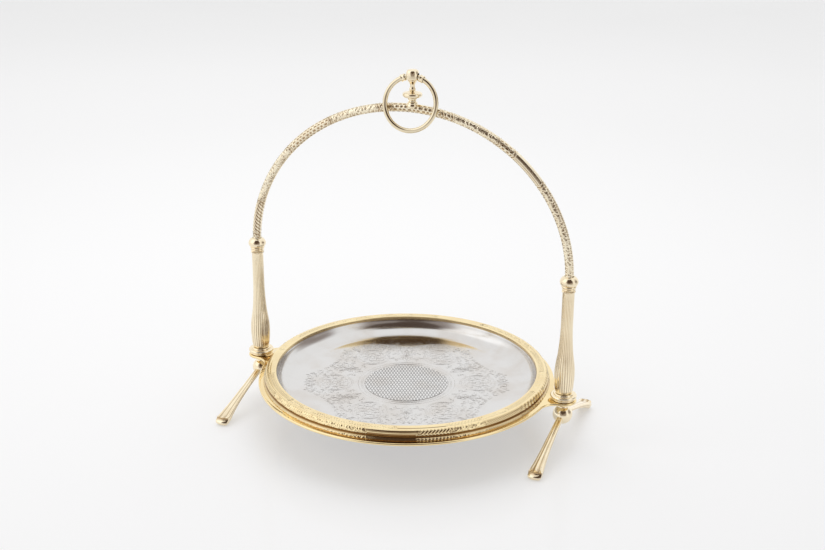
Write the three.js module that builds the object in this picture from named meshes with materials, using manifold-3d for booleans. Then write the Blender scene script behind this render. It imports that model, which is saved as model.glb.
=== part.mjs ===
// A standing serving tray under an arch handle with a loose carrying ring.
// Millimetres. X runs along the arch, -Y is the front, +Z is up, and the floor is at zero.

import * as THREE from 'three';
import { mergeVertices } from 'three/addons/utils/BufferGeometryUtils.js';
import Module from 'manifold-3d';

const wasm = await Module();
wasm.setup();

// Driving dimensions
const GAP = 0.3; // clearance between pieces that touch
const TRAY_RADIUS = 132.2; // outside of the rim band
const CARRIER_TOP = 45.5; // height of the plate that carries the tray
const POST_HEIGHT = 98;
const ARCH_RISE = 140; // from the spring of the arch to its top, at the centre of the tube
const ARCH_TUBE_RADIUS = 3.9;
const ARCH_TUBE_WALL = 0.8;
const TIE_ROD_RADIUS = 2;
const ROD_END_RADIUS = 2; // thread of the tie rods in the arch's plugs

const CARRIER_MARGIN = 5.8; // plate seen outside the tray
const CARRIER_SHEET = 1.5;
const CARRIER_EDGE_HEIGHT = 4.8;
const CARRIER_EDGE_ROUND = 2;
const EAR_RADIUS = 12;
const EAR_REACH = 12; // from the plate's round edge out to the post axis
const EAR_FILLET = 15;

const RIM_HEIGHT = 6.2;
const RIM_WIDTH = 11.3; // across the flat top and the shoulder
const RIM_SHOULDER = 2.2;
const RIM_LIP = 3.2; // how far the band turns down inside the tray
const RIM_SHEET = 0.8;
const PAN_SHEET = 0.9;
const PAN_DEPTH = 17.5; // from the top of the rim to the tray's floor
const PAN_COVE = 9; // radius where the wall turns into the floor
const PAN_WALL_LEAN = 1.5; // how far the wall leans in above the cove
const CARRIER_TO_PAN = 1.4; // free space round the pan in the carrier's opening

const COLLAR_RADIUS = 11.9;
const COLLAR_HEIGHT = 3.9;
const POST_FOOT_RADIUS = 7;
const POST_BELLY_RADIUS = 8.85;
const POST_NECK_RADIUS = 5.1;
const KNOB_RADIUS = 8.25;
const KNOB_HEIGHT = 12.5;
const KNOB_SOCKET_DEPTH = 6; // how deep the arch sits in each knob
const ARCH_PLUG_LENGTH = 9;
const ARCH_PLUG_CLEARANCE = 0.6; // the tube already curves beside the plug

const HUB_RADIUS = 9;
const HUB_CENTRE = 28; // height above the floor
const HUB_NECK_RADIUS = 5;
const HUB_FLOOR = 2.7; // metal left under the tie rod's hole
const LEG_REACH = 80; // from the post axis to the tip of the toe
const LEG_ROOT_CENTRE = 26; // height at which the legs leave the hub
const LEG_ROOT_WIDTH = 5;
const LEG_ROOT_HEIGHT = 4.6;
const LEG_END_WIDTH = 8.6; // before the toe flares
const TOE_WIDTH = 12.8;
const TOE_HEIGHT = 8.2;
const TOE_LENGTH = 5; // flat on the floor
const TENON_RADIUS = 1.9;
const SOCKET_WALL = 1.9; // metal between a tenon's socket and the tie rod's hole
const FEET_TURN = -4; // degrees that both feet are turned about their posts

const FINIAL_OFFSET = 4.4; // the finial stands this far to the right of the arch's middle
const SADDLE_RADIUS = 6.4;
const SADDLE_RISE = 1.4; // metal over the tube
const STUD_RADIUS = 1.5;
const STUD_IN_SPINDLE = 5.5;
const FINIAL_DISC_RADIUS = 8.7;
const FINIAL_HEAD_RADIUS = 6;
const FINIAL_HEIGHT = 28.1; // from the saddle to the top of the head
const RING_RADIUS = 23.3; // at the centre of the wire
const RING_WIRE_RADIUS = 2.2;
const RING_END_GAP = 2;
const SLEEVE_LENGTH = 4;
const SLEEVE_WALL = 0.7;

const ROUND_SIDES = 64; // facets round the tray
const SMALL_SIDES = 20; // facets round the turned pieces

// Places worked out from the dimensions
const carrierRadius = TRAY_RADIUS + CARRIER_MARGIN;
const postX = carrierRadius + EAR_REACH;
const carrierUnderside = CARRIER_TOP - CARRIER_SHEET;
const carrierEdgeBottom = CARRIER_TOP - CARRIER_EDGE_HEIGHT;
const collarBottom = CARRIER_TOP + GAP;
const postBottom = collarBottom + COLLAR_HEIGHT + GAP;
const knobBottom = postBottom + POST_HEIGHT + GAP;
const knobTop = knobBottom + KNOB_HEIGHT;
const archEnd = knobTop - KNOB_SOCKET_DEPTH + GAP;
const archSpring = knobTop - KNOB_SOCKET_DEPTH / 2;
const archTop = archSpring + ARCH_RISE;
const tubeBore = ARCH_TUBE_RADIUS - ARCH_TUBE_WALL;
const tieHole = TIE_ROD_RADIUS + GAP;
const hubHoleBottom = HUB_CENTRE - HUB_RADIUS + HUB_FLOOR;
const plugBottom = archEnd + GAP;
const rimBottom = CARRIER_TOP + GAP;
const rimTop = rimBottom + RIM_HEIGHT;
const rimInner = TRAY_RADIUS - RIM_WIDTH;
const panFloor = rimTop - PAN_DEPTH;
const panFlangeTop = rimTop - RIM_SHEET - GAP;
const panWallInner = rimInner + RIM_SHEET + GAP; // the wall stands behind the band's lip
const panWallOuter = panWallInner + PAN_SHEET;
const carrierOpening = panWallOuter + CARRIER_TO_PAN;
const saddleTop = archTop + ARCH_TUBE_RADIUS + GAP + SADDLE_RISE;
const spindleBottom = saddleTop + GAP;
const ringPivot = spindleBottom + FINIAL_HEIGHT - FINIAL_HEAD_RADIUS * 1.06;
const studHole = STUD_RADIUS + GAP;

// Materials, as colours seen in the photograph
const finishes = {
  paleGold: { color: 0xe0c79c, roughness: 0.22, metalness: 1 },
  warmGold: { color: 0xecd089, roughness: 0.16, metalness: 1 },
  silver: { color: 0xcfcfce, roughness: 0.2, metalness: 1 },
  steel: { color: 0x9a9a9a, roughness: 0.45, metalness: 1 },
};

function piece(name, geometry, finish) {
  const mesh = new THREE.Mesh(geometry, new THREE.MeshStandardMaterial(finishes[finish]));
  mesh.name = name;
  return mesh;
}

function toSolid(geometry) {
  const bare = geometry.clone();
  bare.deleteAttribute('normal');
  bare.deleteAttribute('uv');
  const merged = mergeVertices(bare, 1e-4);
  const vertProperties = new Float32Array(merged.attributes.position.array);
  const triVerts = new Uint32Array(merged.index.array);
  return new wasm.Manifold(new wasm.Mesh({ numProp: 3, vertProperties, triVerts }));
}

function toGeometry(solid) {
  const mesh = solid.getMesh();
  const geometry = new THREE.BufferGeometry();
  geometry.setAttribute('position', new THREE.BufferAttribute(mesh.vertProperties, 3));
  geometry.setIndex(new THREE.BufferAttribute(mesh.triVerts, 1));
  return geometry;
}

// A turned piece: the profile is a list of [radius, height], with the metal on its left
function turned(profile, sides) {
  const points = profile.map(([radius, height]) => new THREE.Vector2(radius, height));
  return new THREE.LatheGeometry(points, sides).rotateX(Math.PI / 2);
}

function closed(profile) {
  return [...profile, profile[0]];
}

function rod(radius, bottom, top, sides = 12) {
  return turned([[0, bottom], [radius, bottom], [radius, top], [0, top]], sides);
}

function arc(centreR, centreZ, radius, fromDegrees, toDegrees, steps) {
  const points = [];
  for (let i = 0; i <= steps; i += 1) {
    const angle = THREE.MathUtils.degToRad(fromDegrees + ((toDegrees - fromDegrees) * i) / steps);
    points.push([centreR + radius * Math.cos(angle), centreZ + radius * Math.sin(angle)]);
  }
  return points;
}

function circleShape(radius, sides) {
  const shape = new THREE.Shape();
  for (let i = 0; i < sides; i += 1) {
    const angle = (2 * Math.PI * i) / sides;
    const x = radius * Math.cos(angle);
    const y = radius * Math.sin(angle);
    if (i === 0) shape.moveTo(x, y);
    else shape.lineTo(x, y);
  }
  shape.closePath();
  return shape;
}

// The path of the arch's centre line: up from one knob, over a half ellipse, and down
class ArchPath extends THREE.Curve {
  getPoint(t, target = new THREE.Vector3()) {
    const straight = 0.008;
    if (t < straight) {
      return target.set(-postX, 0, THREE.MathUtils.lerp(archEnd, archSpring, t / straight));
    }
    if (t > 1 - straight) {
      return target.set(postX, 0, THREE.MathUtils.lerp(archEnd, archSpring, (1 - t) / straight));
    }
    const angle = (Math.PI * (t - straight)) / (1 - 2 * straight);
    return target.set(-postX * Math.cos(angle), 0, archSpring + ARCH_RISE * Math.sin(angle));
  }
}

// An open circle in the XZ plane that hangs below the origin
class RingPath extends THREE.Curve {
  getPoint(t, target = new THREE.Vector3()) {
    const halfGap = RING_END_GAP / 2 / RING_RADIUS;
    const angle = halfGap + (2 * Math.PI - 2 * halfGap) * t;
    const x = RING_RADIUS * Math.sin(angle);
    return target.set(x, 0, RING_RADIUS * Math.cos(angle) - RING_RADIUS);
  }
}

function archTube(radius, bore) {
  const section = circleShape(radius, 12);
  if (bore > 0) section.holes.push(circleShape(bore, 10));
  return new THREE.ExtrudeGeometry(section, { steps: 48, extrudePath: new ArchPath() });
}

function archRod() {
  const hole = rod(studHole, archTop, archTop + 2 * ARCH_TUBE_RADIUS).translate(FINIAL_OFFSET, 0, 0);
  const tube = toSolid(archTube(ARCH_TUBE_RADIUS, tubeBore)).subtract(toSolid(hole));
  return piece('arch_rod', toGeometry(tube), 'paleGold');
}

// Points along an arc, without its last one, where the next arc starts
function arcPoints(centreX, centreY, radius, from, to, steps) {
  const points = [];
  for (let i = 0; i < steps; i += 1) {
    const angle = from + ((to - from) * i) / steps;
    const x = centreX + radius * Math.cos(angle);
    points.push(new THREE.Vector2(x, centreY + radius * Math.sin(angle)));
  }
  return points;
}

// The carrier's outline drawn in by an inset: a circle with an ear at each side
function carrierOutline(inset) {
  const radius = carrierRadius - inset;
  const ear = EAR_RADIUS - inset;
  const fillet = EAR_FILLET + inset;
  const far = radius + fillet;
  const near = ear + fillet;
  const filletX = (postX * postX + far * far - near * near) / (2 * postX);
  const filletY = Math.sqrt(far * far - filletX * filletX);
  const onCircle = Math.atan2(filletY, filletX);
  const onEar = Math.atan2(filletY, filletX - postX);
  const half = [
    ...arcPoints(0, 0, radius, onCircle, Math.PI - onCircle, 28),
    ...arcPoints(-filletX, filletY, fillet, -onCircle, -onEar, 4),
    ...arcPoints(-postX, 0, ear, Math.PI - onEar, Math.PI + onEar, 9),
    ...arcPoints(-filletX, -filletY, fillet, onEar, onCircle, 4),
  ];
  const otherHalf = half.map((point) => point.clone().negate());
  return new THREE.Shape([...half, ...otherHalf]);
}

function carrierRing() {
  const round = CARRIER_EDGE_ROUND;
  const plate = new THREE.ExtrudeGeometry(carrierOutline(round), {
    depth: CARRIER_EDGE_HEIGHT,
    bevelThickness: round,
    bevelSize: round,
    bevelSegments: 3,
  }).translate(0, 0, carrierEdgeBottom - round);
  const hollow = new THREE.ExtrudeGeometry(carrierOutline(CARRIER_SHEET), {
    depth: CARRIER_EDGE_HEIGHT,
    bevelEnabled: false,
  }).translate(0, 0, carrierUnderside - CARRIER_EDGE_HEIGHT);
  const below = new THREE.BoxGeometry(4 * postX, 4 * postX, 20)
    .translate(0, 0, carrierEdgeBottom - 10);
  const opening = rod(carrierOpening, 0, 2 * CARRIER_TOP, ROUND_SIDES);
  let ring = toSolid(plate).subtract(toSolid(below)).subtract(toSolid(hollow));
  ring = ring.subtract(toSolid(opening));
  for (const side of [-1, 1]) {
    const hole = rod(tieHole, 0, 2 * CARRIER_TOP).translate(side * postX, 0, 0);
    ring = ring.subtract(toSolid(hole));
  }
  return piece('carrier_ring', toGeometry(ring), 'warmGold');
}

function trayPan() {
  const wallTop = panFlangeTop;
  const lipBottom = rimTop - RIM_LIP - GAP;
  const wallFoot = panWallInner - PAN_WALL_LEAN;
  const inner = arc(wallFoot - PAN_COVE, panFloor + PAN_COVE, PAN_COVE, 0, -90, 3);
  const outer = arc(wallFoot - PAN_COVE, panFloor + PAN_COVE, PAN_COVE + PAN_SHEET, -90, 0, 3);
  const flangeOuter = TRAY_RADIUS - RIM_SHEET - RIM_SHOULDER;
  const profile = [
    [0, panFloor - PAN_SHEET],
    ...outer,
    [panWallOuter, lipBottom],
    [panWallOuter, wallTop - PAN_SHEET],
    [flangeOuter, wallTop - PAN_SHEET],
    [flangeOuter, wallTop],
    [panWallInner, wallTop],
    [panWallInner, lipBottom],
    ...inner,
    [0, panFloor],
  ];
  return piece('tray_pan', turned(profile, ROUND_SIDES), 'silver');
}

function trayRimBand() {
  const shoulder = arc(TRAY_RADIUS - RIM_SHOULDER, rimTop - RIM_SHOULDER, RIM_SHOULDER, 0, 90, 2);
  const under = arc(TRAY_RADIUS - RIM_SHOULDER, rimTop - RIM_SHOULDER, RIM_SHOULDER - RIM_SHEET, 90, 0, 1);
  const hem = carrierOpening + 2;
  const profile = closed([
    [hem, rimBottom],
    [TRAY_RADIUS - 0.6, rimBottom],
    [TRAY_RADIUS, rimBottom + 0.6],
    ...shoulder,
    [rimInner + 0.5, rimTop],
    [rimInner, rimTop - 0.5],
    [rimInner, rimTop - RIM_LIP],
    [rimInner + RIM_SHEET, rimTop - RIM_LIP],
    [rimInner + RIM_SHEET, rimTop - RIM_SHEET],
    ...under,
    [TRAY_RADIUS - RIM_SHEET - 0.3, rimBottom + RIM_SHEET],
    [hem, rimBottom + RIM_SHEET],
  ]);
  return piece('tray_rim_band', turned(profile, ROUND_SIDES), 'warmGold');
}

function postCollar(side) {
  const middle = collarBottom + COLLAR_HEIGHT * 0.36;
  const fullness = COLLAR_HEIGHT * 0.36;
  const profile = closed([
    [tieHole, collarBottom],
    ...arc(COLLAR_RADIUS - fullness, middle, fullness, -90, 90, 4),
    [COLLAR_RADIUS - fullness - 1.2, middle + fullness + 0.4],
    [POST_FOOT_RADIUS + 1.2, collarBottom + COLLAR_HEIGHT],
    [tieHole, collarBottom + COLLAR_HEIGHT],
  ]);
  return piece(`${side}_post_collar`, turned(profile, SMALL_SIDES), 'paleGold');
}

// The baluster: [share of the height, share of the swelling from neck to belly]
const postSwelling = [
  [0.05, 0.82], [0.13, 0.96], [0.19, 1], [0.25, 0.93], [0.31, 0.73],
  [0.38, 0.44], [0.45, 0.27], [0.53, 0.12], [0.63, 0.02], [0.75, 0],
];

function post(side) {
  const swell = POST_BELLY_RADIUS - POST_NECK_RADIUS;
  const outside = postSwelling.map(([high, full]) => (
    [POST_NECK_RADIUS + swell * full, postBottom + POST_HEIGHT * high]
  ));
  const profile = closed([
    [tieHole, postBottom],
    [POST_FOOT_RADIUS, postBottom],
    ...outside,
    [POST_NECK_RADIUS, postBottom + POST_HEIGHT],
    [tieHole, postBottom + POST_HEIGHT],
  ]);
  return piece(`${side}_post`, turned(profile, SMALL_SIDES), 'paleGold');
}

// The knob's outside: [share of the height, radius as a share of the widest]
const knobShape = [
  [0, 0.68], [0.07, 0.76], [0.15, 0.68], [0.25, 0.8], [0.33, 0.76], [0.43, 0.92],
  [0.6, 1], [0.77, 0.93], [0.9, 0.78], [1, 0.7],
];

function postKnob(side) {
  const socket = ARCH_TUBE_RADIUS + GAP;
  const profile = closed([
    [tieHole, knobBottom],
    ...knobShape.map(([high, wide]) => [KNOB_RADIUS * wide, knobBottom + KNOB_HEIGHT * high]),
    [socket, knobTop],
    [socket, knobTop - KNOB_SOCKET_DEPTH],
    [tieHole, knobTop - KNOB_SOCKET_DEPTH],
  ]);
  return piece(`${side}_post_knob`, turned(profile, SMALL_SIDES), 'paleGold');
}

function archPlug(side) {
  const radius = tubeBore - ARCH_PLUG_CLEARANCE;
  const bore = ROD_END_RADIUS + GAP;
  const profile = closed([
    [bore, plugBottom],
    [radius, plugBottom],
    [radius, plugBottom + ARCH_PLUG_LENGTH],
    [bore, plugBottom + ARCH_PLUG_LENGTH],
  ]);
  return piece(`${side}_arch_plug`, turned(profile, 16), 'steel');
}

function tieRod(side) {
  const bottom = hubHoleBottom + GAP;
  const top = plugBottom + ARCH_PLUG_LENGTH - GAP;
  const shoulder = knobTop - KNOB_SOCKET_DEPTH - GAP;
  const profile = [
    [0, bottom],
    [TIE_ROD_RADIUS, bottom],
    [TIE_ROD_RADIUS, shoulder - 1],
    [ROD_END_RADIUS, shoulder],
    [ROD_END_RADIUS, top],
    [0, top],
  ];
  return piece(`${side}_tie_rod`, turned(profile, 12), 'steel');
}

function footHub(side) {
  const neckTop = carrierUnderside - GAP;
  const neckFoot = THREE.MathUtils.radToDeg(Math.acos(HUB_NECK_RADIUS / HUB_RADIUS));
  const profile = [
    ...arc(0, HUB_CENTRE, HUB_RADIUS, -90, neckFoot, 8),
    [HUB_NECK_RADIUS, neckTop],
    [tieHole, neckTop],
    [tieHole, hubHoleBottom],
    [0, hubHoleBottom],
  ];
  let hub = toSolid(turned(profile, SMALL_SIDES));
  for (const way of [0, Math.PI]) {
    const socket = rod(TENON_RADIUS + GAP, tieHole + SOCKET_WALL, 2 * HUB_RADIUS)
      .rotateX(-Math.PI / 2)
      .rotateZ(way)
      .translate(0, 0, LEG_ROOT_CENTRE);
    hub = hub.subtract(toSolid(socket));
  }
  return piece(`${side}_foot_hub`, toGeometry(hub), 'paleGold');
}

// A leg that reaches along +Y: its side view cut to its view from above, with a round tenon
function leg(name) {
  const root = HUB_RADIUS + GAP;
  const toe = LEG_REACH - TOE_LENGTH;
  const top = LEG_ROOT_CENTRE + LEG_ROOT_HEIGHT / 2;
  const bottom = LEG_ROOT_CENTRE - LEG_ROOT_HEIGHT / 2;
  const sideView = new THREE.Shape();
  sideView.moveTo(root, bottom);
  sideView.lineTo(root, top);
  sideView.lineTo(toe - 2, TOE_HEIGHT);
  sideView.lineTo(toe + 1.5, TOE_HEIGHT - 2);
  sideView.lineTo(LEG_REACH, TOE_HEIGHT - 2.6);
  sideView.lineTo(LEG_REACH, 2.6);
  sideView.lineTo(LEG_REACH - 1.8, 0);
  sideView.lineTo(toe, 0);
  sideView.quadraticCurveTo(root + 33, bottom - 7, root, bottom);
  const fromAbove = new THREE.Shape();
  fromAbove.moveTo(-LEG_ROOT_WIDTH / 2, root);
  fromAbove.lineTo(LEG_ROOT_WIDTH / 2, root);
  fromAbove.lineTo(LEG_END_WIDTH / 2, toe - 6);
  fromAbove.quadraticCurveTo(LEG_END_WIDTH / 2, toe - 2, TOE_WIDTH / 2, toe);
  fromAbove.lineTo(TOE_WIDTH / 2, LEG_REACH);
  fromAbove.lineTo(-TOE_WIDTH / 2, LEG_REACH);
  fromAbove.lineTo(-TOE_WIDTH / 2, toe);
  fromAbove.quadraticCurveTo(-LEG_END_WIDTH / 2, toe - 2, -LEG_END_WIDTH / 2, toe - 6);
  const side = new THREE.ExtrudeGeometry(sideView, {
    depth: TOE_WIDTH + 2,
    bevelEnabled: false,
    curveSegments: 8,
  }).translate(0, 0, -TOE_WIDTH / 2 - 1)
    .rotateX(Math.PI / 2)
    .rotateZ(Math.PI / 2);
  const plan = new THREE.ExtrudeGeometry(fromAbove, {
    depth: 2 * HUB_CENTRE,
    bevelEnabled: false,
    curveSegments: 4,
  });
  const tenon = rod(TENON_RADIUS, tieHole + SOCKET_WALL + GAP, root + 2)
    .rotateX(-Math.PI / 2)
    .translate(0, 0, LEG_ROOT_CENTRE);
  const solid = toSolid(side).intersect(toSolid(plan)).add(toSolid(tenon));
  return piece(name, toGeometry(solid), 'paleGold');
}

function foot(side) {
  const group = new THREE.Group();
  const rear = leg(`${side}_rear_leg`);
  const front = leg(`${side}_front_leg`);
  front.rotation.z = Math.PI;
  group.add(footHub(side), rear, front);
  group.rotation.z = THREE.MathUtils.degToRad(FEET_TURN);
  return group;
}

function postStack(side) {
  const group = new THREE.Group();
  group.add(foot(side), tieRod(side), postCollar(side), post(side), postKnob(side), archPlug(side));
  group.position.x = side === 'left' ? -postX : postX;
  return group;
}

function finialSaddle() {
  const profile = closed([
    [studHole, archTop],
    [SADDLE_RADIUS, archTop],
    [SADDLE_RADIUS, archTop + ARCH_TUBE_RADIUS * 0.6],
    [SADDLE_RADIUS - 1.8, saddleTop],
    [studHole, saddleTop],
  ]);
  const blank = turned(profile, SMALL_SIDES).translate(FINIAL_OFFSET, 0, 0);
  const saddle = toSolid(blank).subtract(toSolid(archTube(ARCH_TUBE_RADIUS + GAP, 0)));
  return piece('finial_saddle', toGeometry(saddle), 'paleGold');
}

// The spindle's outside: [share of the height, radius]
const spindleShape = [
  [0, 3.4], [0.05, 3.2], [0.1, 5.2], [0.13, 6.2], [0.14, 8], [0.18, FINIAL_DISC_RADIUS],
  [0.22, 8], [0.24, 5.6], [0.31, 4.4], [0.34, 2.9], [0.39, 3.4], [0.44, 2.9],
  [0.48, 2.7], [0.6, 2.9], [0.68, 4.6], [0.7, 4.9],
];

function finialSpindle() {
  const headHeight = 0.3 * FINIAL_HEIGHT;
  const headMiddle = spindleBottom + FINIAL_HEIGHT - headHeight / 2;
  const head = arc(0, 0, 1, -52, 90, 5)
    .map(([r, z]) => [FINIAL_HEAD_RADIUS * r, headMiddle + (headHeight / 2) * z]);
  const profile = [
    [0, spindleBottom + STUD_IN_SPINDLE + GAP],
    [studHole, spindleBottom + STUD_IN_SPINDLE + GAP],
    [studHole, spindleBottom],
    ...spindleShape.map(([high, radius]) => [radius, spindleBottom + FINIAL_HEIGHT * high]),
    ...head,
  ];
  const reach = 2 * FINIAL_HEAD_RADIUS;
  const sweep = RING_RADIUS - Math.sqrt(RING_RADIUS ** 2 - FINIAL_HEAD_RADIUS ** 2);
  const crossHole = rod(RING_WIRE_RADIUS + sweep + GAP, -reach, reach, 16)
    .rotateY(Math.PI / 2)
    .translate(0, 0, ringPivot);
  const spindle = toSolid(turned(profile, SMALL_SIDES)).subtract(toSolid(crossHole));
  const mesh = piece('finial_spindle', toGeometry(spindle), 'paleGold');
  mesh.position.x = FINIAL_OFFSET;
  return mesh;
}

function finialStud() {
  const bottom = archTop + tubeBore - ARCH_TUBE_WALL;
  const mesh = piece('finial_stud', rod(STUD_RADIUS, bottom, spindleBottom + STUD_IN_SPINDLE), 'steel');
  mesh.position.x = FINIAL_OFFSET;
  return mesh;
}

function ringSleeve(side) {
  const bore = RING_WIRE_RADIUS + GAP + 0.1;
  const half = SLEEVE_LENGTH / 2;
  const profile = closed([
    [bore, -half],
    [bore + SLEEVE_WALL, -half],
    [bore + SLEEVE_WALL, half],
    [bore, half],
  ]);
  const mesh = piece(`${side}_ring_sleeve`, turned(profile, 16), 'paleGold');
  const away = (FINIAL_HEAD_RADIUS + 2 * GAP + half) / RING_RADIUS;
  const hand = side === 'left' ? -1 : 1;
  mesh.position.set(hand * RING_RADIUS * Math.sin(away), 0, RING_RADIUS * (Math.cos(away) - 1));
  mesh.rotation.y = Math.PI / 2 + hand * away;
  return mesh;
}

function carryRing() {
  const wire = new THREE.ExtrudeGeometry(circleShape(RING_WIRE_RADIUS, 8), {
    steps: 40,
    extrudePath: new RingPath(),
  });
  return piece('carry_ring', wire, 'warmGold');
}

// The ring leans forwards on the arch tube
function ringAssembly() {
  const group = new THREE.Group();
  group.add(carryRing(), ringSleeve('left'), ringSleeve('right'));
  const offTube = ARCH_TUBE_RADIUS + RING_WIRE_RADIUS + GAP;
  const lean = Math.asin(offTube / (ringPivot - archTop));
  group.rotation.x = -lean;
  group.position.set(FINIAL_OFFSET, 0, ringPivot);
  return group;
}

const tray = new THREE.Group();
tray.add(trayPan(), trayRimBand());

const servingTray = new THREE.Group();
servingTray.add(carrierRing(), postStack('left'), postStack('right'), archRod());
servingTray.add(finialSaddle(), finialSpindle(), finialStud(), ringAssembly(), tray);

export default servingTray;
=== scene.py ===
import math
from bisect import bisect_right

import bmesh
import bpy
from mathutils import Matrix, Vector


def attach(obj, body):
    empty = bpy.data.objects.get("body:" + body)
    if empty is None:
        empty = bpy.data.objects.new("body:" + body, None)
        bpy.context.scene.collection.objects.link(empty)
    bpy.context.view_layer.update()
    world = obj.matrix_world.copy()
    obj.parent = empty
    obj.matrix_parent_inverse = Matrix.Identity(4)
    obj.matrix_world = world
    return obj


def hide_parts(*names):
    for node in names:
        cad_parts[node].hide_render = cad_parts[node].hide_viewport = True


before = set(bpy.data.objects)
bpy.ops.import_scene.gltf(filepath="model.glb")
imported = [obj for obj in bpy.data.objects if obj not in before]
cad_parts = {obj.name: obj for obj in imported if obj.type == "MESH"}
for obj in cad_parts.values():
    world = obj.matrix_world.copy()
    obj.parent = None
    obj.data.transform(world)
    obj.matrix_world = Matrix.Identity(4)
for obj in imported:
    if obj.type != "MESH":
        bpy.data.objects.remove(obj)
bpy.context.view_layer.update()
scene = bpy.context.scene
scene.view_settings.view_transform = "Standard"
mm = 0.001
fullTurn = 2 * math.pi
print("frame loaded")

# Camera, fitted to the arch, the rim, the carrier and the toes
cameraView = {
    "place": (0.370865, -1.039065, 0.55533),
    "azimuth": 19.38,
    "elevation": 20.51,
    "roll": 0.32,
    "lens": 56.47,
}
turnZ = Matrix.Rotation(math.radians(cameraView["azimuth"]), 4, "Z")
tilt = Matrix.Rotation(math.radians(90 - cameraView["elevation"]), 4, "X")
roll = Matrix.Rotation(math.radians(cameraView["roll"]), 4, "Z")
cameraData = bpy.data.cameras.new("camera")
cameraData.lens = cameraView["lens"]
cameraData.sensor_width = 36
cameraData.sensor_fit = "HORIZONTAL"
camera = bpy.data.objects.new("camera", cameraData)
camera.matrix_world = Matrix.Translation(cameraView["place"]) @ turnZ @ tilt @ roll
scene.collection.objects.link(camera)
scene.camera = camera
print("camera placed")


# Numbers and lines
def clamp(value, low=0.0, high=1.0):
    return max(low, min(high, value))


def smoothStep(low, high, value):
    t = clamp((value - low) / (high - low))
    return t * t * (3 - 2 * t)


def polar(radius, angle):
    return Vector((radius * math.cos(angle), radius * math.sin(angle)))


def arcLine(centreR, centreZ, radius, start, end, steps):
    angles = [math.radians(start + (end - start) * i / steps) for i in range(steps + 1)]
    return [(centreR + radius * math.cos(a), centreZ + radius * math.sin(a)) for a in angles]


def throughPoints(points, perSpan=4):
    # a smooth line through the points, where a point given twice is a corner
    points = [Vector(p) for p in points]
    line = []
    for i in range(len(points) - 1):
        here, ahead = points[i], points[i + 1]
        span = (ahead - here).length
        if span < 1e-9:
            continue
        behind = points[max(i - 1, 0)]
        beyond = points[min(i + 2, len(points) - 1)]
        leave = (ahead - behind).normalized() * min(span, (here - behind).length or span)
        arrive = (beyond - here).normalized() * min(span, (beyond - ahead).length or span)
        for k in range(perSpan):
            t = k / perSpan
            line.append(here * (2 * t**3 - 3 * t**2 + 1) + leave * (t**3 - 2 * t**2 + t)
                        + ahead * (3 * t**2 - 2 * t**3) + arrive * (t**3 - t**2))
    line.append(points[-1])
    return [(p.x, p.y) for p in line]


# Meshes
def turned(profile, steps=96, at=(0, 0), joined=False):
    # the profile is (radius, height) in mm, spun round a vertical axis
    bm = bmesh.new()
    bm.verts.layers.float.new("recessAndShade")
    verts = [bm.verts.new((r * mm, 0, z * mm)) for r, z in profile]
    edges = [bm.edges.new(pair) for pair in zip(verts, verts[1:])]
    if joined:
        edges.append(bm.edges.new((verts[-1], verts[0])))
    bmesh.ops.spin(bm, geom=verts + edges, cent=(0, 0, 0), axis=(0, 0, 1),
                   angle=fullTurn, steps=steps, use_merge=True)
    bmesh.ops.remove_doubles(bm, verts=bm.verts, dist=1e-6)
    bmesh.ops.translate(bm, verts=bm.verts, vec=(at[0] * mm, at[1] * mm, 0))
    return bm


def wrapped(acrossSteps, alongSteps, place, capped=False):
    # a flat grid moved onto a surface: place gives a point in mm and how dark it is painted: for the depth of
    # a groove, and on the rim band also for painted shade
    bm = bmesh.new()
    recessAndShade = bm.verts.layers.float.new("recessAndShade")
    bmesh.ops.create_grid(bm, x_segments=acrossSteps, y_segments=alongSteps, size=0.5)
    for vert in bm.verts:
        point, darkness = place(vert.co.x + 0.5, vert.co.y + 0.5)
        vert.co = point * mm
        vert[recessAndShade] = darkness
    bmesh.ops.remove_doubles(bm, verts=bm.verts, dist=2e-6)
    if capped:
        bmesh.ops.holes_fill(bm, edges=[e for e in bm.edges if e.is_boundary], sides=0)
    return bm


def finishPiece(name, bm, finish, body, nodes=(), corner=48):
    bmesh.ops.recalc_face_normals(bm, faces=bm.faces)
    mesh = bpy.data.meshes.new(name)
    bm.to_mesh(mesh)
    bm.free()
    return placePiece(name, mesh, finish, body, nodes, corner)


def placePiece(name, mesh, finish, body, nodes=(), corner=48):
    # the finish gives the material; edges sharper than the corner stay crisp
    mesh.shade_smooth()
    mesh.set_sharp_from_angle(angle=math.radians(corner))
    mesh.materials.clear()
    mesh.materials.append(metals[finish])
    piece = bpy.data.objects.new(name, mesh)
    scene.collection.objects.link(piece)
    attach(piece, body)
    if nodes:
        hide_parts(*nodes)
    return piece


# Materials
def addNode(tree, kind, inputs=None, **settings):
    node = tree.nodes.new(kind)
    for key, value in settings.items():
        setattr(node, key, value)
    for key, value in (inputs or {}).items():
        if isinstance(value, bpy.types.NodeSocket):
            tree.links.new(value, node.inputs[key])
        else:
            node.inputs[key].default_value = value
    return node


def mathNode(tree, operation, first, second=0.5):
    return addNode(tree, "ShaderNodeMath", {0: first, 1: second}, operation=operation).outputs[0]


def spread(tree, value, low, high, toLow=0.0, toHigh=1.0):
    ranges = {"Value": value, "From Min": low, "From Max": high, "To Min": toLow, "To Max": toHigh}
    return addNode(tree, "ShaderNodeMapRange", ranges, interpolation_type="SMOOTHSTEP").outputs[0]


def blendColor(tree, factor, first, second, way="MIX"):
    # a Mix node's colour sockets are 6 and 7, and its colour comes out at 2
    colors = {0: factor, 6: first, 7: second}
    return addNode(tree, "ShaderNodeMix", colors, data_type="RGBA", blend_type=way).outputs[2]


def noiseNode(tree, place, scale, detail=2.0, distortion=0.0):
    settings = {"Vector": place, "Scale": scale, "Detail": detail, "Distortion": distortion}
    return addNode(tree, "ShaderNodeTexNoise", settings).outputs[0]
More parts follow.
